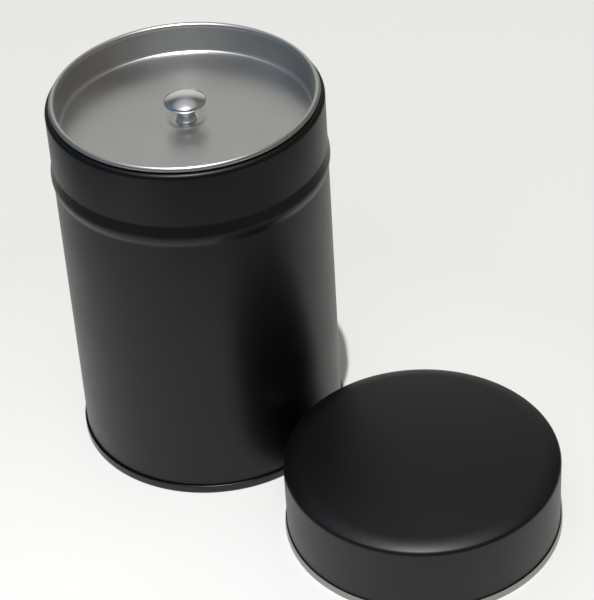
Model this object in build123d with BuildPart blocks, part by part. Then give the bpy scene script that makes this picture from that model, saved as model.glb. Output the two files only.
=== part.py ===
"""Round double-lid storage tin: a sheet-metal body, a plug lid with a riveted knob and a slip-on cap.

Units are millimetres. The origin is the middle of the tin's foot and +Z runs up the tin's axis.
The plug lid sits in the mouth, and the cap lies on the table beside the tin with its crown up.
Every pressed piece is drawn as the middle line of its sheet, thickened to the gauge and revolved.
"""

from build123d import *
from math import asin, degrees, radians, sin
import os

# ---- sheet metal ---------------------------------------------------------
SHEET = 0.22  # gauge of the tinplate in every pressed piece
HALF = SHEET / 2
SEAM_PLAY = 0.02  # play between the layers of the base seam
LAYER = SHEET + SEAM_PLAY  # pitch of those layers

# ---- body ----------------------------------------------------------------
BODY_R = 42.5  # outside radius of the wall and of the neck above the bead
MOUTH_TOP = 122.5  # top of the rolled mouth
MOUTH_ROLL_R = 1.35  # outside radius of the mouth's inward roll
MOUTH_ROLL_TURN = 300  # degrees of that roll
BEAD_LOW = 97.5  # where the bead leaves the wall
BEAD_CREST = 99.8
BEAD_HIGH = 104.5  # where its longer upper slope meets the neck
BEAD_PEAK = 0.8  # how far its two slopes would meet outside the wall if they weren't rounded
BEAD_ROUNDS = (4.0, 6.0, 4.0)  # bend radii at its foot, crest and top
LAP_TURN = 4.0  # width of the side seam's inner overlap, degrees of the wall
LAP_AZIMUTH = 150.0  # where the side seam runs, degrees from +X
LAP_FOOT = 4.5
LAP_TOP = 119.0

# ---- base ----------------------------------------------------------------
SEAM_HEIGHT = 2.8  # outside height of the double seam
PANEL_HEIGHT = 3.0  # underside of the base panel above the table
PANEL_BEND_R = 1.2
FOOT_FLAT = 0.24  # width of the narrow flat that the seam stands on

# ---- plug lid ------------------------------------------------------------
PLUG_TOP = 124.35  # top of its rolled rim
PLUG_WALL_R = 39.3  # inside radius of its wall
PLUG_ROLL_R = 0.95  # outside radius of the rolled rim
PLUG_ROLL_TURN = 310  # degrees of that roll
PLUG_PANEL = 114.4  # top face of its panel
PLUG_COVE_R = 1.0  # inside radius between panel and wall
BOSS_R = 6.1  # raised pad that stiffens the panel round the knob
BOSS_PROUD = 0.25
BOSS_SLOPE = 1.6  # width of the pad's sloping edge
RIVET_HOLE_R = 1.55

# ---- knob, heights above the pad -----------------------------------------
KNOB_R = 6.5
KNOB_RIM = 6.45  # height of the head's widest ring
KNOB_TOP = 8.8
KNOB_DOME_EDGE = 6.95  # height at which the dome meets the rounded edge
KNOB_LIP = 5.8  # height of the edge's underside
KNOB_FOOT_R = 3.4
KNOB_WAIST_R = 2.7
KNOB_WAIST = 1.5
KNOB_NECK_R = 3.2
KNOB_NECK = 4.9  # height at which the stem meets the head
RIVET_R = 1.5
RIVET_HEAD_R = 2.7
RIVET_HEAD = 0.6

# ---- cap -----------------------------------------------------------------
CAP_X = 64.9  # where the cap's axis stands on the table
CAP_Y = -59.8
CAP_R = 42.75  # outside radius of its wall
CAP_SHOULDER = 23.1  # height at which the wall starts to turn in
CAP_CORNER_R = 1.6
CAP_CORNER_TURN = 64.0  # degrees of the tight corner
CAP_EASE_R = 14.0
CAP_EASE_TURN = 20.0  # degrees of the softer turn that follows it
HEM_R = 43.45  # outside radius of the hem
HEM_HEIGHT = 2.2
HEM_LEAN = 0.3  # the hem's cut edge leans in towards the wall by this much

UP = (0, 1)


def sheet_section(outline, plane=Plane.XZ):
    """Closed section of a bent sheet, from the function that draws its middle line."""
    with BuildSketch(plane) as section:
        with BuildLine() as middle:
            outline()
        trace(middle.line, line_width=SHEET)
    return section.sketch


# ---- middle lines of the body and its base --------------------------------
wall_mid = BODY_R - HALF
end_hook_mid = wall_mid + LAYER
body_hook_mid = wall_mid + 2 * LAYER
seam_wall_mid = wall_mid + 3 * LAYER
chuck_wall_mid = wall_mid - LAYER
seam_foot_z = HALF + 2 * LAYER
foot_bend_mid = 2 * LAYER - FOOT_FLAT / 2
foot_bend_z = HALF + foot_bend_mid
seam_crown_z = SEAM_HEIGHT - HALF - LAYER
mouth_roll_mid = MOUTH_ROLL_R - HALF
mouth_roll_z = MOUTH_TOP - MOUTH_ROLL_R
panel_mid = PANEL_HEIGHT + HALF


def wall_outline(mid, foot, top):
    """Upright wall between two heights, with the bead as two straight slopes and rounded bends."""
    bead = [(mid, BEAD_LOW), (mid + BEAD_PEAK, BEAD_CREST), (mid, BEAD_HIGH)]
    FilletPolyline((mid, foot), *bead, (mid, top), radius=BEAD_ROUNDS)


def body_outline():
    """Hook inside the base seam, wall, bead, neck and the inward roll of the mouth."""
    Line((body_hook_mid, SEAM_HEIGHT - 3 * SHEET), (body_hook_mid, seam_foot_z))
    CenterArc((end_hook_mid, seam_foot_z), LAYER, 0, -180)
    wall_outline(wall_mid, seam_foot_z, mouth_roll_z)
    CenterArc((wall_mid - mouth_roll_mid, mouth_roll_z), mouth_roll_mid, 0, MOUTH_ROLL_TURN)


def base_outline():
    """Recessed panel, chuck wall and the outer layers of the base seam."""
    bend_mid = PANEL_BEND_R - HALF
    bend_r = chuck_wall_mid - bend_mid
    Line((0, panel_mid), (bend_r, panel_mid))
    CenterArc((bend_r, panel_mid - bend_mid), bend_mid, 90, -90)
    Line((chuck_wall_mid, panel_mid - bend_mid), (chuck_wall_mid, foot_bend_z))
    CenterArc((end_hook_mid - FOOT_FLAT / 2, foot_bend_z), foot_bend_mid, 180, 90)
    Line((end_hook_mid - FOOT_FLAT / 2, HALF), (end_hook_mid + FOOT_FLAT / 2, HALF))
    CenterArc((end_hook_mid + FOOT_FLAT / 2, foot_bend_z), foot_bend_mid, -90, 90)
    Line((seam_wall_mid, foot_bend_z), (seam_wall_mid, seam_crown_z))
    CenterArc((body_hook_mid, seam_crown_z), LAYER, 0, 180)
    Line((end_hook_mid, seam_crown_z), (end_hook_mid, seam_foot_z + LAYER))


# ---- middle lines of the plug lid -----------------------------------------
plug_wall_mid = PLUG_WALL_R + HALF
plug_panel_mid = PLUG_PANEL - HALF
plug_boss_mid = plug_panel_mid + BOSS_PROUD
plug_cove_mid = PLUG_COVE_R + HALF
plug_roll_mid = PLUG_ROLL_R - HALF
plug_roll_z = PLUG_TOP - PLUG_ROLL_R


def plug_outline():
    """Pad round the knob, panel, cove, wall and the outward roll of the rim."""
    level = (1, 0)
    pad = Line((RIVET_HOLE_R, plug_boss_mid), (BOSS_R - BOSS_SLOPE, plug_boss_mid))
    slope = Spline(pad @ 1, (BOSS_R, plug_panel_mid), tangents=[level, level])
    Line(slope @ 1, (plug_wall_mid - plug_cove_mid, plug_panel_mid))
    CenterArc((plug_wall_mid - plug_cove_mid, plug_panel_mid + plug_cove_mid), plug_cove_mid, -90, 90)
    Line((plug_wall_mid, plug_panel_mid + plug_cove_mid), (plug_wall_mid, plug_roll_z))
    CenterArc((plug_wall_mid + plug_roll_mid, plug_roll_z), plug_roll_mid, 180, -PLUG_ROLL_TURN)


# ---- middle lines of the cap ----------------------------------------------
cap_wall_mid = CAP_R - HALF
hem_bend_mid = (HEM_R - HALF - cap_wall_mid) / 2
hem_bend_z = hem_bend_mid + HALF


def cap_outline():
    """Hem turned out and up, wall, tight corner, softer shoulder and shallow crown."""
    hem_mid = HEM_R - HALF
    Line((hem_mid - HEM_LEAN, HEM_HEIGHT), (hem_mid, hem_bend_z))
    CenterArc((hem_mid - hem_bend_mid, hem_bend_z), hem_bend_mid, 0, -180)
    wall = Line((cap_wall_mid, hem_bend_z), (cap_wall_mid, CAP_SHOULDER))
    corner = JernArc(wall @ 1, UP, CAP_CORNER_R - HALF, CAP_CORNER_TURN)
    ease = JernArc(corner @ 1, corner % 1, CAP_EASE_R, CAP_EASE_TURN)
    crown_turn = 90 - CAP_CORNER_TURN - CAP_EASE_TURN
    crown_r = (ease @ 1).X / sin(radians(crown_turn))
    JernArc(ease @ 1, ease % 1, crown_r, crown_turn)


# ---- knob profile ----------------------------------------------------------
knob_foot_z = plug_boss_mid + HALF
rivet_foot_z = plug_boss_mid - HALF - RIVET_HEAD


def knob_outline():
    """Domed head, flared underside, waisted stem and the riveted tail under the panel."""
    z = knob_foot_z
    edge_r = KNOB_R - 0.3
    dome_r = (edge_r**2 + (KNOB_TOP - KNOB_DOME_EDGE) ** 2) / (2 * (KNOB_TOP - KNOB_DOME_EDGE))
    dome_turn = degrees(asin(edge_r / dome_r))
    dome = CenterArc((0, z + KNOB_TOP - dome_r), dome_r, 90, -dome_turn)
    edge = ThreePointArc(dome @ 1, (KNOB_R, z + KNOB_RIM), (KNOB_R - 0.25, z + KNOB_LIP))
    flare = Spline(edge @ 1, (KNOB_NECK_R, z + KNOB_NECK), tangents=[(-1, 0), (-0.3, -1)])
    waist = Spline(flare @ 1, (KNOB_WAIST_R, z + KNOB_WAIST), tangents=[(-0.3, -1), (0, -1)])
    fillet_arc = Spline(waist @ 1, (KNOB_FOOT_R, z + 0.25), tangents=[(0, -1), (1, -0.3)])
    foot = Line(fillet_arc @ 1, (KNOB_FOOT_R, z))
    Polyline(foot @ 1, (RIVET_R, z), (RIVET_R, z - SHEET))
    tail = Line((RIVET_R, z - SHEET), (RIVET_HEAD_R - 0.2, z - SHEET))
    upset = ThreePointArc(tail @ 1, (RIVET_HEAD_R, z - SHEET - 0.25), (RIVET_HEAD_R - 0.4, rivet_foot_z))
    Polyline(upset @ 1, (0, rivet_foot_z), (0, z + KNOB_TOP))


# ---- pieces -----------------------------------------------------------------
with BuildPart() as body_wall:
    add(sheet_section(body_outline))
    revolve(axis=Axis.Z)
    # The welded side seam doubles the sheet on the inside over a narrow strip.
    lap_plane = Plane.XZ.rotated((0, 0, LAP_AZIMUTH))
    add(sheet_section(lambda: wall_outline(wall_mid - SHEET, LAP_FOOT, LAP_TOP), lap_plane))
    revolve(axis=Axis.Z, revolution_arc=LAP_TURN)

with BuildPart() as base_plate:
    add(sheet_section(base_outline))
    revolve(axis=Axis.Z)

with BuildPart() as inner_lid_pan:
    add(sheet_section(plug_outline))
    revolve(axis=Axis.Z)

with BuildPart() as lid_knob:
    with BuildSketch(Plane.XZ):
        with BuildLine():
            knob_outline()
        make_face()
    revolve(axis=Axis.Z)

with BuildPart() as cap_at_origin:
    add(sheet_section(cap_outline))
    revolve(axis=Axis.Z)

with BuildPart() as outer_lid:
    with Locations((CAP_X, CAP_Y)):
        add(cap_at_origin.part)

os.makedirs("parts", exist_ok=True)
pieces = {
    "body_wall": body_wall.part,
    "base_plate": base_plate.part,
    "inner_lid_pan": inner_lid_pan.part,
    "lid_knob": lid_knob.part,
    "outer_lid": outer_lid.part,
}
for name, piece in pieces.items():
    piece.label = name
    export_step(piece, f"parts/{name}.step")
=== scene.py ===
"""The looks of a round double-lid storage tin: black enamelled body, silver plug lid and a black slip-on cap.

Every pressed piece is the middle line of its sheet, thickened to the gauge and turned about its axis.
Lengths are in metres. Heights and places come from the boxes of the CAD nodes where those give them, and the
other sizes are named here with the CAD's own values.
"""

import bpy
from math import asin, atan2, cos, degrees, pi, radians, sin, tan
from mathutils import Matrix, Vector


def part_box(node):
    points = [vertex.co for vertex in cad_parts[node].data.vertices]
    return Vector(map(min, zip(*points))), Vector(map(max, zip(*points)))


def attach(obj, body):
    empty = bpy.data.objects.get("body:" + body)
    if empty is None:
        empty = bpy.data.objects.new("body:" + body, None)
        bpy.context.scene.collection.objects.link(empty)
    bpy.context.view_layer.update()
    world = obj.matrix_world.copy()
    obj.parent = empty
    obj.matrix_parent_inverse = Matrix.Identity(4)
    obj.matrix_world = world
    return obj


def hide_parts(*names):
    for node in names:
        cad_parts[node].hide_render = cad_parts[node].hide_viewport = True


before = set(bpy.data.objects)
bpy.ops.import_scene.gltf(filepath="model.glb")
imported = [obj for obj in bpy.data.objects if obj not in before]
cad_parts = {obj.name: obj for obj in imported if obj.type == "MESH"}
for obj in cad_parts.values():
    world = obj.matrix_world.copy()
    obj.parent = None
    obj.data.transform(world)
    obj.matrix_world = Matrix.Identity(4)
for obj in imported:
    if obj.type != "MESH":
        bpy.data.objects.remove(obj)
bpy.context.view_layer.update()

MM = 0.001
TINY = 1e-7  # shorter than any length that matters

# ---- sizes -----------------------------------------------------------------------
SHEET = 0.22 * MM
HALF = SHEET / 2
LAYER = SHEET + 0.02 * MM  # pitch of the layers in the base seam

body_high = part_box("body_wall")[1]
base_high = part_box("base_plate")[1]
pan_low, pan_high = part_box("inner_lid_pan")
knob_low, knob_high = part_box("lid_knob")
cap_low, cap_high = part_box("outer_lid")

# Body
BODY_R = 42.5 * MM
MOUTH_TOP = body_high.z
MOUTH_ROLL_R = 1.35 * MM
MOUTH_ROLL_TURN = 300.0
BEAD_LOW = 97.5 * MM
BEAD_CREST = 99.8 * MM
BEAD_HIGH = 104.5 * MM
BEAD_PEAK = 0.8 * MM
BEAD_ROUNDS = (4 * MM, 6 * MM, 4 * MM)
LAP_AZIMUTH = radians(150)  # where the welded side seam runs
LAP_PROUD = 0.08 * MM
LAP_HALF_WIDTH = 1.4 * MM

# Base
SEAM_HEIGHT = 2.8 * MM
PANEL_HEIGHT = base_high.z - SHEET
PANEL_BEND_R = 1.2 * MM
FOOT_FLAT = 0.24 * MM

# Plug lid
PLUG_TOP = pan_high.z
PLUG_WALL_R = 39.3 * MM
PLUG_ROLL_R = 0.95 * MM
PLUG_ROLL_TURN = 310.0
PLUG_PANEL = pan_low.z + SHEET
PLUG_COVE_R = 1.0 * MM
BOSS_R = 6.1 * MM
BOSS_PROUD = 0.25 * MM
BOSS_SLOPE = 1.6 * MM
RIVET_HOLE_R = 1.55 * MM

# Knob, heights above the pad
KNOB_R = (knob_high.x - knob_low.x) / 2
KNOB_DOME_RISE = 1.85 * MM
KNOB_DOME_INSET = 0.3 * MM  # the dome ends this far inside the widest ring
KNOB_LIP_INSET = 0.25 * MM  # and the head's underside starts this far inside it
KNOB_LIP = 5.8 * MM
KNOB_NECK_R = 3.2 * MM
KNOB_NECK = 4.9 * MM
KNOB_WAIST_R = 2.7 * MM
KNOB_WAIST = 1.5 * MM
KNOB_FOOT_R = 3.4 * MM
KNOB_FOOT = 0.25 * MM
KNOB_EDGE_BULGE = 0.22 * MM
RIVET_R = 1.5 * MM
RIVET_ROOT_R = 2.5 * MM  # the upset tail where it meets the panel
RIVET_END_R = 2.3 * MM
RIVET_BULGE = 0.24 * MM

# Cap
CAP_AXIS = ((cap_low.x + cap_high.x) / 2, (cap_low.y + cap_high.y) / 2)
CAP_R = 42.75 * MM
CAP_SHOULDER = 23.1 * MM
CAP_CORNER_R = 1.6 * MM
CAP_CORNER_TURN = 64.0
CAP_EASE_R = 14 * MM
CAP_EASE_TURN = 20.0
HEM_R = 43.45 * MM
HEM_HEIGHT = 2.2 * MM
HEM_LEAN = 0.3 * MM

# Meshes
TURNS = 288  # facets round a turned piece
ARC_STEP = 9  # degrees of an arc between its points, where nothing finer is asked for
SHARP = radians(35)  # bends sharper than this show as an edge
OUTSIDE, INSIDE = 0, 1  # material slots of a sheet's two faces
WALL_SHADE = 2  # material slot of the plug lid's inner wall, a darker copy of its tinplate: painted shade


# ---- curves ----------------------------------------------------------------------
def straight(a, b, steps=1):
    """Points from a to b."""
    return [(a[0] + (b[0] - a[0]) * i / steps, a[1] + (b[1] - a[1]) * i / steps) for i in range(steps + 1)]


def polar(centre, radius, angle):
    """Point at a radius from a centre, at an angle in degrees from the horizontal."""
    return (centre[0] + radius * cos(radians(angle)), centre[1] + radius * sin(radians(angle)))


def arc(centre, radius, start, turn, steps=None):
    """Points of an arc, angles in degrees, anticlockwise for a positive turn."""
    steps = steps or max(4, round(abs(turn) / ARC_STEP))
    return [polar(centre, radius, start + turn * i / steps) for i in range(steps + 1)]


def arc_through(a, b, sag, steps=12):
    """Points from a to b on an arc that bulges by sag: to the left, or to the right if it is negative."""
    chord = Vector(b) - Vector(a)
    side = Vector((-chord.y, chord.x)).normalized() * (1 if sag > 0 else -1)
    sag = abs(sag)
    radius = (chord.length / 2) ** 2 / (2 * sag) + sag / 2
    half = asin(min(1.0, chord.length / 2 / radius))
    centre = (Vector(a) + Vector(b)) / 2 + side * (sag - radius)
    points = []
    for i in range(steps + 1):
        t = half * (1 - 2 * i / steps)
        along = chord.normalized() * -sin(t)
        points.append(tuple(centre + radius * (side * cos(t) + along)))
    return points


def bezier(a, b, c, d, steps=12):
    """Points of a cubic curve from a to d."""
    a, b, c, d = map(Vector, (a, b, c, d))
    points = []
    for i in range(steps + 1):
        t = i / steps
        u = 1 - t
        points.append(tuple(a * u**3 + b * 3 * u * u * t + c * 3 * u * t * t + d * t**3))
    return points


def s_curve(a, b, steps):
    """Points that leave a and reach b level."""
    points = []
    for i in range(steps + 1):
        t = i / steps
        ease = t * t * (3 - 2 * t)
        points.append((a[0] + (b[0] - a[0]) * t, a[1] + (b[1] - a[1]) * ease))
    return points


def rounded(points, radii):
    """Straight runs through the points, with an arc of the given radius at each inner one."""
    runs = [[points[0]]]
    for before, at, after, radius in zip(points, points[1:], points[2:], radii):
        at = Vector(at)
        back, ahead = (Vector(before) - at).normalized(), (Vector(after) - at).normalized()
        half_turn = (pi - back.angle(ahead)) / 2
        reach = radius * tan(half_turn)
        centre = at + (back + ahead).normalized() * radius / cos(half_turn)
        side = -1 if back.x * ahead.y - back.y * ahead.x > 0 else 1
        first = at + back * reach - centre
        start = degrees(atan2(first.y, first.x))
        runs.append(arc(centre, radius, start, side * degrees(2 * half_turn), steps=10))
    return joined(*runs, [points[-1]])


def joined(*runs):
    """One outline from several runs, without the doubled points where they meet."""
    points = []
    for run in runs:
        for p in run:
            if not points or (Vector(p) - Vector(points[-1])).length > TINY:
                points.append(p)
    return points


def supported(points, margin=0.4 * MM):
    """The same outline with extra points near the ends of its long runs, so that bends shade crisply."""
    kept = [points[0]]
    for a, b in zip(points, points[1:]):
        a, b = Vector(a), Vector(b)
        length = (b - a).length
        if length > 3 * margin:
            kept.append(tuple(a.lerp(b, margin / length)))
            kept.append(tuple(b.lerp(a, margin / length)))
        kept.append(tuple(b))
    return kept


# ---- sheet and turning -----------------------------------------------------------
def sheet_loop(middle):
    """Closed loop round a sheet from its middle line, and the material slot of each of its faces.

    The sheet's outer face is on the right of the middle line as it is drawn. Its cut edges count as inside.
    """
    points = [Vector(p) for p in supported(middle)]
    normals = []
    for i in range(len(points)):
        ahead = points[min(i + 1, len(points) - 1)] - points[max(i - 1, 0)]
        ahead.normalize()
        normals.append(Vector((ahead.y, -ahead.x)))
    outer = [p + n * HALF for p, n in zip(points, normals)]
    inner = [p - n * HALF for p, n in zip(points, normals)]
    faces = [OUTSIDE] * (len(outer) - 1) + [INSIDE] * (len(inner) + 1)
    return outer + inner[::-1], faces


def turned(name, loop, faces, axis=(0, 0), closed=True, swell=None):
    """Mesh made by turning a loop of (radius, height) points about an upright axis.

    swell(angle, radius, height) gives a small push outwards, for marks that break the round shape.
    """
    vertices = []
    rows = []
    for r, z in loop:
        if r < TINY:
            rows.append([len(vertices)] * TURNS)
            vertices.append((axis[0], axis[1], z))
            continue
        rows.append(list(range(len(vertices), len(vertices) + TURNS)))
        for k in range(TURNS):
            t = 2 * pi * k / TURNS
            out = r + (swell(t, r, z) if swell else 0)
            vertices.append((axis[0] + out * cos(t), axis[1] + out * sin(t), z))
    polygons = []
    slots = []
    for i in range(len(loop) if closed else len(loop) - 1):
        a, b = rows[i], rows[(i + 1) % len(loop)]
        for k in range(TURNS):
            m = (k + 1) % TURNS
            corners = list(dict.fromkeys((a[k], a[m], b[m], b[k])))
            if len(corners) > 2:
                polygons.append(corners)
                slots.append(faces[i])
    mesh = bpy.data.meshes.new(name)
    mesh.from_pydata(vertices, [], polygons)
    mesh.polygons.foreach_set("material_index", slots)
    mesh.polygons.foreach_set("use_smooth", [True] * len(polygons))
    mesh.update()
    mesh.set_sharp_from_angle(angle=SHARP)
    return placed(name, mesh)


def placed(name, data):
    """Object in the scene for a mesh, light or camera."""
    made = bpy.data.objects.new(name, data)
    bpy.context.scene.collection.objects.link(made)
    return made


# ---- outlines of the pieces, the same shapes as in the CAD -----------------------
wall_mid = BODY_R - HALF
end_hook_mid = wall_mid + LAYER
body_hook_mid = wall_mid + 2 * LAYER
chuck_wall_mid = wall_mid - LAYER
seam_foot_z = HALF + 2 * LAYER


def body_middle():
    """Hook in the base seam, wall, bead, neck and the inward roll of the mouth."""
    roll = MOUTH_ROLL_R - HALF
    roll_z = MOUTH_TOP - MOUTH_ROLL_R
    bead = [(wall_mid, BEAD_LOW), (wall_mid + BEAD_PEAK, BEAD_CREST), (wall_mid, BEAD_HIGH)]
    return joined(
        straight((body_hook_mid, SEAM_HEIGHT - 3 * SHEET), (body_hook_mid, seam_foot_z)),
        arc((end_hook_mid, seam_foot_z), LAYER, 0, -180),
        rounded([(wall_mid, seam_foot_z), *bead, (wall_mid, roll_z)], BEAD_ROUNDS),
        arc((wall_mid - roll, roll_z), roll, 0, MOUTH_ROLL_TURN, steps=40),
    )


def base_middle():
    """Recessed panel, chuck wall and the outer layers of the base seam."""
    panel = PANEL_HEIGHT + HALF
    bend = PANEL_BEND_R - HALF
    foot = 2 * LAYER - FOOT_FLAT / 2
    crown_z = SEAM_HEIGHT - HALF - LAYER
    return joined(
        straight((0, panel), (chuck_wall_mid - bend, panel), steps=8),
        arc((chuck_wall_mid - bend, panel - bend), bend, 90, -90),
        arc((end_hook_mid - FOOT_FLAT / 2, HALF + foot), foot, 180, 90),
        arc((end_hook_mid + FOOT_FLAT / 2, HALF + foot), foot, -90, 90),
        arc((body_hook_mid, crown_z), LAYER, 0, 180, steps=16),
        straight((end_hook_mid, crown_z), (end_hook_mid, seam_foot_z + LAYER)),
    )


def pan_middle():
    """Pad round the knob, panel, cove, wall and the outward roll of the rim."""
    panel = PLUG_PANEL - HALF
    pad = panel + BOSS_PROUD
    pad_r = BOSS_R - BOSS_SLOPE
    wall = PLUG_WALL_R + HALF
    cove = PLUG_COVE_R + HALF
    roll = PLUG_ROLL_R - HALF
    return joined(
        straight((RIVET_HOLE_R, pad), (pad_r, pad), steps=2),
        s_curve((pad_r, pad), (BOSS_R, panel), steps=8),
        straight((BOSS_R, panel), (wall - cove, panel), steps=8),
        arc((wall - cove, panel + cove), cove, -90, 90, steps=14),
        arc((wall + roll, PLUG_TOP - PLUG_ROLL_R), roll, 180, -PLUG_ROLL_TURN, steps=44),
    )


def cap_middle():
    """Hem turned out and up, wall, tight corner, softer shoulder and shallow crown, from the hem inwards."""
    wall = CAP_R - HALF
    hem = HEM_R - HALF
    bend = (hem - wall) / 2
    corner = CAP_CORNER_R - HALF
    corner_at = (wall - corner, CAP_SHOULDER)
    ease_at = polar(corner_at, corner - CAP_EASE_R, CAP_CORNER_TURN)
    reached = CAP_CORNER_TURN + CAP_EASE_TURN
    edge = polar(ease_at, CAP_EASE_R, reached)
    crown_r = edge[0] / cos(radians(reached))
    crown_at = (0, edge[1] - crown_r * sin(radians(reached)))
    return joined(
        straight((hem - HEM_LEAN, HEM_HEIGHT), (hem, bend + HALF)),
        arc((hem - bend, bend + HALF), bend, 0, -180, steps=12),
        straight((wall, bend + HALF), (wall, CAP_SHOULDER), steps=4),
        arc(corner_at, corner, 0, CAP_CORNER_TURN, steps=12),
        arc(ease_at, CAP_EASE_R, CAP_CORNER_TURN, CAP_EASE_TURN, steps=14),
        arc(crown_at, crown_r, reached, 90 - reached, steps=14),
    )


def knob_outline():
    """Half section of the knob: from the axis round the rivet's tail, up the stem and over the domed head."""
    pad = PLUG_PANEL + BOSS_PROUD
    tail = pad - SHEET

    def handle(r, z):
        """Handle of a curve, from its radius and its height above the pad in millimetres."""
        return (r * MM, pad + z * MM)

    dome_edge = KNOB_R - KNOB_DOME_INSET
    dome_r = (dome_edge**2 + KNOB_DOME_RISE**2) / (2 * KNOB_DOME_RISE)
    dome_turn = degrees(asin(dome_edge / dome_r))
    dome = arc((0, knob_high.z - dome_r), dome_r, 90 - dome_turn, dome_turn, steps=24)
    lip = (KNOB_R - KNOB_LIP_INSET, pad + KNOB_LIP)
    neck = (KNOB_NECK_R, pad + KNOB_NECK)
    waist = (KNOB_WAIST_R, pad + KNOB_WAIST)
    foot = (KNOB_FOOT_R, pad + KNOB_FOOT)
    return joined(
        [(0, knob_low.z), (RIVET_END_R, knob_low.z)],
        arc_through((RIVET_END_R, knob_low.z), (RIVET_ROOT_R, tail), sag=-RIVET_BULGE, steps=8),
        [(RIVET_R, tail), (RIVET_R, pad), (KNOB_FOOT_R, pad)],
        bezier(foot, handle(2.9, 0.4), handle(2.7, 0.75), waist),
        bezier(waist, handle(2.7, 2.7), handle(2.9, 4), neck),
        bezier(neck, handle(3.45, 5.6), handle(4.7, 5.8), lip),
        arc_through(lip, dome[0], sag=-KNOB_EDGE_BULGE),
        dome,
    )


# ---- material nodes --------------------------------------------------------------
def new_material(name, base, metallic, roughness, **sockets):
    """Principled material with plain values, ready for its detail nodes."""
    material = bpy.data.materials.new(name)
    material.use_nodes = True
    shader = material.node_tree.nodes["Principled BSDF"]
    shader.inputs["Base Color"].default_value = (*base, 1)
    shader.inputs["Metallic"].default_value = metallic
    shader.inputs["Roughness"].default_value = roughness
    for socket, value in sockets.items():
        shader.inputs[socket.replace("_", " ")].default_value = value
    return material


def add_node(material, kind, **values):
    """Node with its inputs and properties set by name."""
    node = material.node_tree.nodes.new(kind)
    for name, value in values.items():
        if hasattr(node, name):
            setattr(node, name, value)
        else:
            node.inputs[name.replace("_", " ")].default_value = value
    return node


def link(material, output, target):
    """Joins one node's output to another's input."""
    material.node_tree.links.new(output, target)


def into_shader(material, output, socket):
    """Feeds one socket of the material's shader."""
    link(material, output, material.node_tree.nodes["Principled BSDF"].inputs[socket])


def object_place(material, scale=(1, 1, 1)):
    """Position on the object in metres, stretched."""
    place = add_node(material, "ShaderNodeTexCoord")
    mapping = add_node(material, "ShaderNodeMapping")
    mapping.inputs["Scale"].default_value = scale
    link(material, place.outputs["Object"], mapping.inputs["Vector"])
    return mapping.outputs["Vector"]


def noise(material, place, per_metre, detail=2.0, rough=0.5):
    """Value that wanders between 0 and 1, about so many times in a metre."""
    texture = add_node(material, "ShaderNodeTexNoise", Scale=per_metre, Detail=detail, Roughness=rough)
    link(material, place, texture.inputs["Vector"])
    return texture.outputs["Fac"]


def spread(material, value, low, high, start=0.3, end=0.7):
    """Stretches a value's middle range to run from low to high."""
    ranged = add_node(material, "ShaderNodeMapRange", clamp=True)
    for name, number in (("From Min", start), ("From Max", end), ("To Min", low), ("To Max", high)):
        ranged.inputs[name].default_value = number
    link(material, value, ranged.inputs["Value"])
    return ranged.outputs["Result"]


def tint(material, value, first, last):
    """Base colour that goes from the first tone to the last as a value goes from 0 to 1."""
    mix = add_node(material, "ShaderNodeMix", data_type="RGBA")
    mix.inputs["A"].default_value = (*first, 1)
    mix.inputs["B"].default_value = (*last, 1)
    link(material, value, mix.inputs["Factor"])
    into_shader(material, mix.outputs["Result"], "Base Color")


def relief(material, height, distance, strength, under=None):
    """Bump of a real height in metres, stacked on another bump if one is given."""
    bump = add_node(material, "ShaderNodeBump", Strength=strength, Distance=distance)
    link(material, height, bump.inputs["Height"])
    if under is not None:
        link(material, under, bump.inputs["Normal"])
    into_shader(material, bump.outputs["Normal"], "Normal")
    return bump.outputs["Normal"]


# ---- materials -------------------------------------------------------------------
def enamel(name, roughness, gloss=1.4):
    """Satin black stoving enamel: fine orange peel, faint cloudiness in its gloss."""
    tone = 0.0015
    cool = (0.93, 0.95, 1, 1)
    material = new_material(name, (tone, tone, tone * 1.08), 0, roughness, IOR=gloss, Specular_Tint=cool)
    place = object_place(material)
    clouds = noise(material, place, per_metre=45, detail=4, rough=0.55)
    cloudy = spread(material, clouds, 0, 1)
    tint(material, cloudy, (tone * 0.85,) * 3, (tone * 1.1, tone * 1.1, tone * 1.2))
    into_shader(material, spread(material, clouds, roughness * 0.94, roughness * 1.06), "Roughness")
    grain = noise(material, place, per_metre=2600, detail=3, rough=0.6)
    peel = relief(material, grain, 0.012 * MM, 0.5)
    waves = noise(material, place, per_metre=420, detail=1)
    relief(material, waves, 0.01 * MM, 0.6, under=peel)
    return material


def tinplate(name, tone, roughness):
    """Satin tinplate: fine rolling lines along X over an even matt grain."""
    material = new_material(name, tone, 1, roughness)
    place = object_place(material)
    clouds = noise(material, place, per_metre=60, detail=3)
    cloudy = spread(material, clouds, 0, 1)
    tint(material, cloudy, tuple(c * 0.96 for c in tone), tuple(c * 1.03 for c in tone))
    into_shader(material, spread(material, clouds, roughness * 0.93, roughness * 1.07), "Roughness")
    grain = relief(material, noise(material, place, per_metre=5200, detail=2), 0.006 * MM, 0.5)
    rolled = object_place(material, scale=(0.05, 1, 1))
    lines = noise(material, rolled, per_metre=3200, detail=3, rough=0.65)
    relief(material, lines, 0.004 * MM, 0.5, under=grain)
    return material


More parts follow.
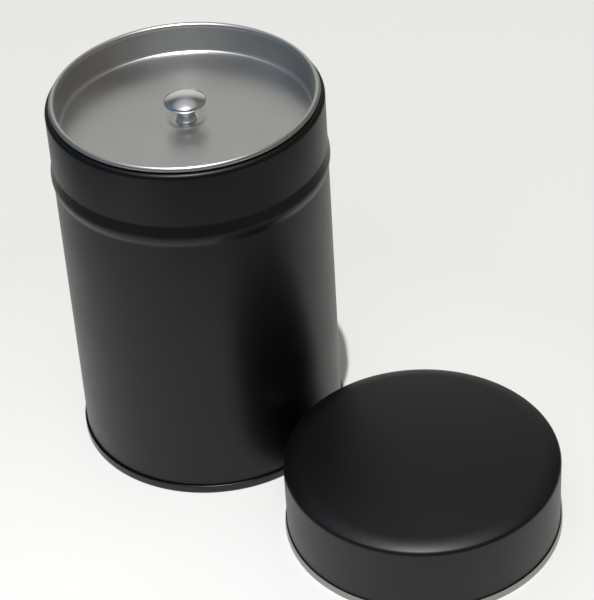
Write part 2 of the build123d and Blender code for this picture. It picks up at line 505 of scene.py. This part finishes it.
def turned_aluminium(name, tone, roughness):
    """Polished aluminium with the faint rings left by turning."""
    material = new_material(name, tone, 1, roughness)
    place = object_place(material)
    flat = add_node(material, "ShaderNodeVectorMath", operation="MULTIPLY")
    flat.inputs[1].default_value = (1, 1, 0)
    link(material, place, flat.inputs[0])
    radius = add_node(material, "ShaderNodeVectorMath", operation="LENGTH")
    link(material, flat.outputs["Vector"], radius.inputs[0])
    rings = add_node(material, "ShaderNodeTexNoise", noise_dimensions="1D", Scale=9000)
    rings.inputs["Detail"].default_value = 3
    rings.inputs["Roughness"].default_value = 0.6
    link(material, radius.outputs["Value"], rings.inputs["W"])
    clouds = noise(material, place, per_metre=500, detail=3)
    into_shader(material, spread(material, clouds, roughness * 0.85, roughness * 1.25), "Roughness")
    relief(material, rings.outputs["Fac"], 0.003 * MM, 0.6)
    return material


black_enamel = enamel("black_enamel", 0.38)
cap_enamel = enamel("black_cap_enamel", 0.42, gloss=1.44)
base_enamel = enamel("black_gloss_enamel", 0.28, gloss=1.45)
satin_tin = tinplate("satin_tinplate", (0.61, 0.615, 0.61), 0.34)
# A darker copy of the satin tinplate for the plug lid's inner wall: painted shade.
wall_shade_tin = tinplate("wall_shade_tinplate", (0.40, 0.405, 0.41), 0.36)
lacquered_tin = tinplate("lacquered_tinplate", (0.30, 0.315, 0.295), 0.38)
plain_tin = tinplate("plain_tinplate", (0.62, 0.61, 0.59), 0.3)
aluminium = turned_aluminium("polished_aluminium", (0.88, 0.88, 0.89), 0.14)


# ---- pieces ----------------------------------------------------------------------
def dress(piece, body, node, slot, *materials):
    """Puts a piece on its body, in place of its CAD node, with its materials."""
    for material in materials:
        piece.data.materials.append(material)
    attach(piece, body)
    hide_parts(node)


def lap_swell(angle, radius, height):
    """The welded side seam stands a little proud of the wall over a narrow strip."""
    if radius < BODY_R - SHEET or not SEAM_HEIGHT < height < MOUTH_TOP - 2 * MOUTH_ROLL_R:
        return 0
    away = abs((angle - LAP_AZIMUTH + pi) % (2 * pi) - pi) * BODY_R
    return LAP_PROUD * max(0.0, 1 - away / LAP_HALF_WIDTH) ** 0.5


def wall_shade_slots(loop, faces):
    """Face slots of the plug lid, with the straight wall between cove and rim in a slot of its own, which
    carries painted shade.
    """
    marked = []
    for i, face in enumerate(faces):
        middle = (loop[i].y + loop[(i + 1) % len(loop)].y) / 2
        on_wall = PLUG_PANEL + PLUG_COVE_R < middle < PLUG_TOP - 2 * PLUG_ROLL_R
        marked.append(WALL_SHADE if on_wall else face)
    return marked


tin_wall = turned("tin_wall", *sheet_loop(body_middle()), swell=lap_swell)
dress(tin_wall, "tin", "body_wall", "black_enamel", black_enamel, plain_tin)

tin_base = turned("tin_base", *sheet_loop(base_middle()))
dress(tin_base, "tin", "base_plate", "black_gloss_enamel", base_enamel, plain_tin)

pan_loop, pan_faces = sheet_loop(pan_middle())
plug_pan = turned("plug_pan", pan_loop, wall_shade_slots(pan_loop, pan_faces))
dress(plug_pan, "inner_lid", "inner_lid_pan", "satin_tinplate", satin_tin, satin_tin, wall_shade_tin)

# The hem is the cap's own sheet turned outwards and up, so what faces out there is the sheet's inside.
cap_shell = turned("cap_shell", *sheet_loop(cap_middle()), axis=CAP_AXIS)
dress(cap_shell, "outer_lid", "outer_lid", "black_cap_enamel", cap_enamel, lacquered_tin)

knob_points = knob_outline()
knob = turned("turned_knob", knob_points, [OUTSIDE] * len(knob_points), closed=False)
dress(knob, "inner_lid", "lid_knob", "polished_aluminium", aluminium)


# ---- stage, light and camera -----------------------------------------------------
def floor(half, light_pool_centre, start, end):
    """Pale paper with a painted pool of light: whitest within start of the pool's centre, fading to a painted
    greyer falloff at end.
    """
    mesh = bpy.data.meshes.new("floor")
    corners = [(-half, -half, 0), (half, -half, 0), (half, half, 0), (-half, half, 0)]
    mesh.from_pydata(corners, [], [(0, 1, 2, 3)])
    paper = new_material("pale_paper", (0.86, 0.855, 0.84), 0, 0.7)
    place = object_place(paper)
    away = add_node(paper, "ShaderNodeVectorMath", operation="DISTANCE")
    away.inputs[1].default_value = light_pool_centre
    link(paper, place, away.inputs[0])
    light_falloff = spread(paper, away.outputs["Value"], 0, 1, start=start, end=end)
    # The tint is painted light: lighter near the pool's centre, greyer with distance from it.
    tint(paper, light_falloff, (0.95, 0.95, 0.94), (0.785, 0.785, 0.765))
    relief(paper, noise(paper, place, per_metre=900, detail=3), 0.02 * MM, 0.2)
    mesh.materials.append(paper)
    placed("floor", mesh)


def lamp(name, place, target, radius, lit, colour):
    """Round light that makes a white floor at its target show the brightness lit."""
    data = bpy.data.lights.new(name, "AREA")
    data.shape = "DISK"
    data.size = 2 * radius
    aim = Vector(target) - Vector(place)
    data.energy = lit * pi * pi * aim.length**2
    data.color = colour
    light = placed(name, data)
    light.location = place
    light.rotation_euler = aim.to_track_quat("-Z", "Y").to_euler()


def room(base, *patches):
    """Studio round the table: an even level with soft bright patches.

    A patch is the azimuth and height of its middle in degrees, its half width, and its colour.
    """
    world = bpy.data.worlds.new("studio")
    bpy.context.scene.world = world
    world.use_nodes = True
    tree = world.node_tree
    direction = tree.nodes.new("ShaderNodeTexCoord").outputs["Generated"]
    total = None
    for azimuth, height, half_width, colour in patches:
        t, h = radians(azimuth), radians(height)
        facing = tree.nodes.new("ShaderNodeVectorMath")
        facing.operation = "DOT_PRODUCT"
        facing.inputs[1].default_value = (cos(h) * cos(t), cos(h) * sin(t), sin(h))
        tree.links.new(direction, facing.inputs[0])
        fall = tree.nodes.new("ShaderNodeMapRange")
        fall.interpolation_type = "SMOOTHSTEP"
        fall.inputs["From Min"].default_value = cos(radians(half_width))
        tree.links.new(facing.outputs["Value"], fall.inputs["Value"])
        add = tree.nodes.new("ShaderNodeMix")
        add.data_type = "RGBA"
        add.blend_type = "ADD"
        add.inputs["B"].default_value = (*colour, 1)
        tree.links.new(fall.outputs["Result"], add.inputs["Factor"])
        if total is None:
            add.inputs["A"].default_value = (*base, 1)
        else:
            tree.links.new(total, add.inputs["A"])
        total = add.outputs["Result"]
    tree.links.new(total, tree.nodes["Background"].inputs["Color"])


def painted_reflection_card(left, right, front, reach=1.5, lift=0.5 * MM):
    """Dark card seen only in reflections, beyond the left, right and front edges of the pale paper: a painted
    dark reflection.
    """
    mesh = bpy.data.meshes.new("painted_reflection_card")
    corners = []
    for x0, y0, x1, y1 in (
        (-reach, -reach, reach, front),
        (-reach, front, left, reach),
        (right, front, reach, reach),
    ):
        corners += [(x0, y0, lift), (x1, y0, lift), (x1, y1, lift), (x0, y1, lift)]
    mesh.from_pydata(corners, [], [(0, 1, 2, 3), (4, 5, 6, 7), (8, 9, 10, 11)])
    mesh.materials.append(new_material("painted_reflection_dark", (0.12, 0.12, 0.12), 0, 0.9))
    card = placed("painted_reflection_card", mesh)
    card.visible_camera = False
    card.visible_diffuse = False
    card.visible_shadow = False
    card.visible_transmission = False


def camera(place, pitch, roll, focal):
    """Camera that looks towards +Y, down by pitch, tilted by roll. Angles in degrees, focal length in mm."""
    forward = Vector((0, cos(radians(pitch)), -sin(radians(pitch))))
    right = Vector((1, 0, 0))
    up = right.cross(forward)
    x = right * cos(radians(roll)) + up * sin(radians(roll))
    y = up * cos(radians(roll)) - right * sin(radians(roll))
    turn = Matrix((x, y, -forward)).transposed()
    data = bpy.data.cameras.new("camera")
    data.sensor_width = 36
    data.lens = focal
    data.clip_start = 0.01
    eye = placed("camera", data)
    eye.matrix_world = Matrix.Translation(Vector(place)) @ turn.to_4x4()
    bpy.context.scene.camera = eye


floor(half=4.0, light_pool_centre=(-0.02, -0.1, 0), start=0.03, end=0.2)

key_place = (-0.038, -0.594, 3.0)
lamp("key_light", key_place, target=(0, 0, 0), radius=0.022, lit=0.78, colour=(1, 0.99, 0.97))

back_wall = (90, 14, 44, (0.54, 0.53, 0.50))
front_window = (-100, 58, 38, (0.62, 0.64, 0.67))
ceiling = (100, 82, 38, (0.34, 0.35, 0.37))
cool_side = (180, 28, 50, (0.02, 0.07, 0.13))
warm_side = (0, 28, 50, (0.11, 0.08, 0.03))
room((0.09, 0.09, 0.09), back_wall, front_window, ceiling, cool_side, warm_side)
# Painted dark reflection: a card that only glossy surfaces see.
painted_reflection_card(left=-0.178, right=0.185, front=-0.19)

camera((0.0298, -0.5788, 0.4894), pitch=37.695, roll=-3.824, focal=135.6)
bpy.context.scene.view_settings.view_transform = "Standard"
